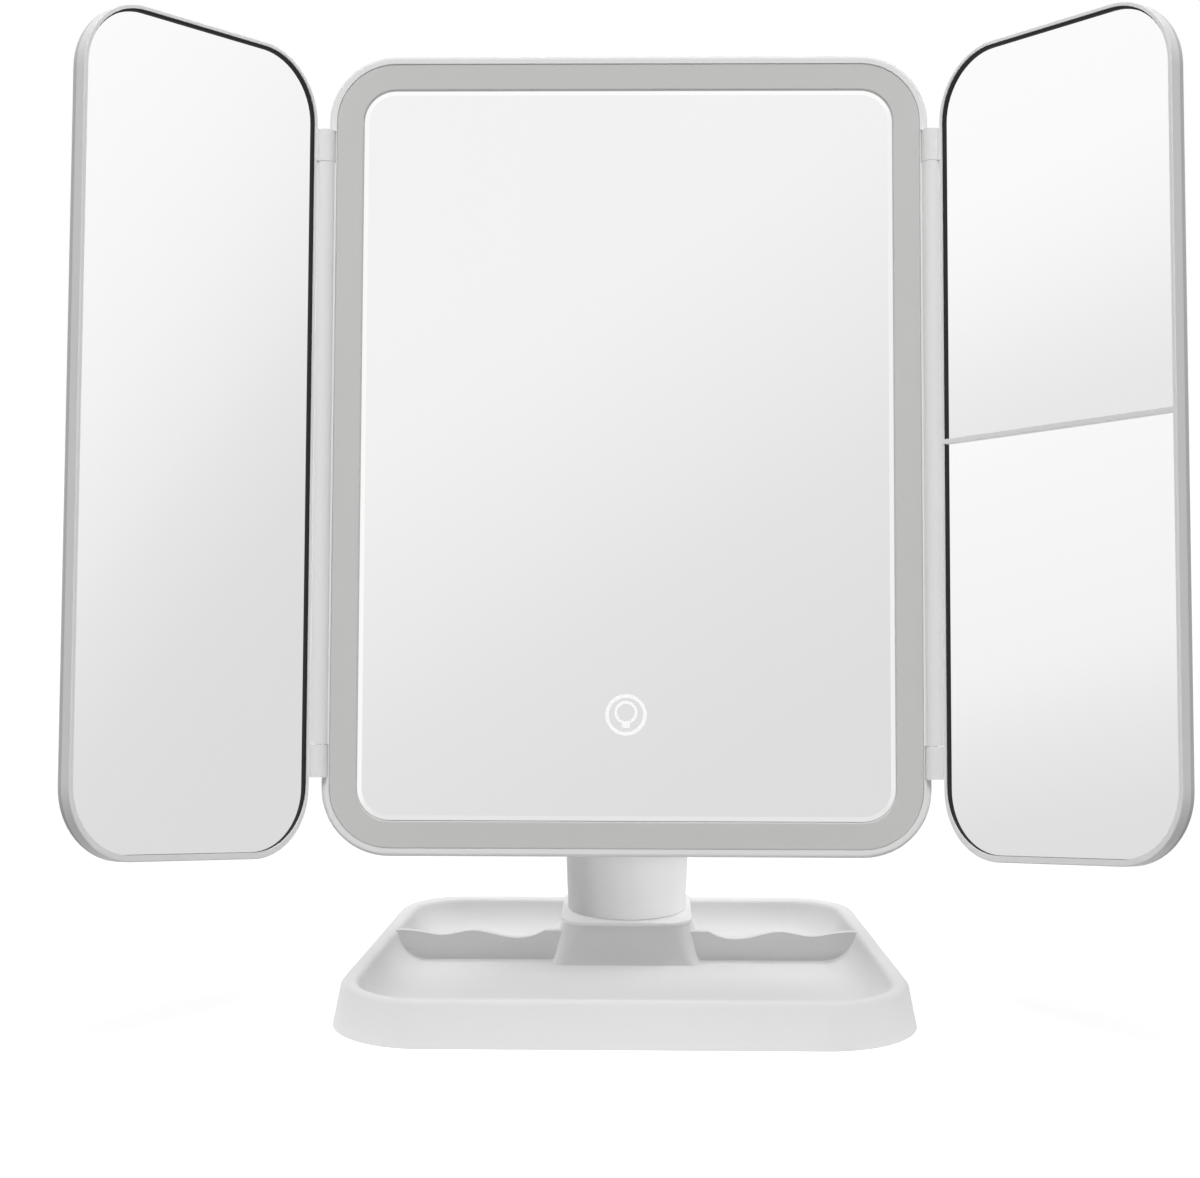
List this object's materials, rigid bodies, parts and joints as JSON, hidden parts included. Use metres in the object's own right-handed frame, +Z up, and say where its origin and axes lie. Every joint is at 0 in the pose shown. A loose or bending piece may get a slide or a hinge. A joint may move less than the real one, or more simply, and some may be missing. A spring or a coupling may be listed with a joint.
{
  "type": "trifold vanity mirror",
  "caption": "White tabletop vanity mirror: a lighted centre panel with folding side mirrors, tilting and turning on a round neck over a shallow storage tray.",
  "frame": {"origin": "on the surface that the base stands on, straight below the swivel axis of the neck", "axes": "+X to the right of someone who looks into the mirror, +Y away from them, towards the back of the mirror, +Z up along the swivel axis"},
  "size_m": [0.3048, 0.1356, 0.2857],
  "materials": {
    "white_shell": "smooth moulded white with a soft sheen",
    "stand_shell": "smooth moulded white with a soft sheen",
    "light_diffuser": "frosted translucent white",
    "centre_glass": "silvered flat glass with a ground bevel",
    "wing_glass": "silvered flat glass",
    "magnifying_glass": "silvered glass with a slightly hollow face",
    "etched_mark": "frosted mark, lit from behind",
    "mounting_tape": "thin foam tape",
    "inner_plastic": "plain moulded",
    "lamp_board": "white board lacquer",
    "lamp_phosphor": "yellow phosphor gel in white cases",
    "copper_foil": "bare copper foil",
    "conductive_foam": "soft carbon-filled foam",
    "circuit_board": "green board lacquer",
    "screw_steel": "zinc-plated",
    "plated_steel": "nickel-plated and ground",
    "battery_pouch": "laminated foil pouch",
    "black_seal": "matt black seal",
    "bearing_plastic": "natural bearing plastic",
    "collar_trim": "bright polished white",
    "silicone_pad": "soft non-slip silicone"
  },
  "bodies": {
    "base": {"base_tray": "stand_shell", "neck_collar": "collar_trim", "swivel_bush": "bearing_plastic", "base_bottom_cover": "stand_shell", "anti_slip_pad": "silicone_pad", "base_screws": "screw_steel"},
    "neck": {"neck_front_shell": "stand_shell", "neck_back_shell": "stand_shell", "neck_screws": "screw_steel", "swivel_spigot": "plated_steel", "swivel_washer": "plated_steel", "swivel_screw": "screw_steel", "tilt_bush": "bearing_plastic", "tilt_washers": "bearing_plastic"},
    "left_wing": {"left_wing_frame": "white_shell", "left_wing_back_cover": "white_shell", "left_wing_gasket": "black_seal", "left_wing_mirror": "wing_glass", "left_wing_tape": "mounting_tape"},
    "right_wing": {"right_wing_frame": "white_shell", "right_wing_back_cover": "white_shell", "right_wing_gasket": "black_seal", "right_wing_upper_mirror": "magnifying_glass", "right_wing_lower_mirror": "magnifying_glass", "right_wing_tape": "mounting_tape"},
    "head": {"panel_front_frame": "white_shell", "panel_rear_cover": "white_shell", "light_diffuser": "light_diffuser", "centre_mirror": "centre_glass", "touch_icon": "etched_mark", "mirror_tape": "mounting_tape", "mirror_carrier": "inner_plastic", "led_board": "lamp_board", "led_lamps": "lamp_phosphor", "touch_foil": "copper_foil", "touch_contact_post": "conductive_foam", "control_board": "circuit_board", "control_board_screws": "screw_steel", "charging_socket": "plated_steel", "battery_pack": "battery_pouch", "battery_pad": "mounting_tape", "panel_screws": "screw_steel", "left_hinge_pins": "plated_steel", "right_hinge_pins": "plated_steel", "tilt_axle": "plated_steel", "tilt_axle_caps": "white_shell"}
  },
  "joints": [
    {"name": "neck_swivel", "type": "hinge", "parent": "base", "child": "neck", "pos_m": [0, 0, 0.0166], "axis": [0, 0, 1], "range_deg": [-90, 90]},
    {"name": "head_tilt", "type": "hinge", "parent": "neck", "child": "head", "pos_m": [0, 0, 0.062], "axis": [-1, 0, 0], "range_deg": [-19, 34]},
    {"name": "left_wing_hinge", "type": "hinge", "parent": "head", "child": "left_wing", "pos_m": [-0.0905, -0.0202, 0.15934], "axis": [0, 0.1908, 0.9816], "range_deg": [-49.4, 130.6]},
    {"name": "right_wing_hinge", "type": "hinge", "parent": "head", "child": "right_wing", "pos_m": [0.0905, -0.0202, 0.15934], "axis": [0, -0.1908, -0.9816], "range_deg": [-49.4, 130.6]}
  ]
}
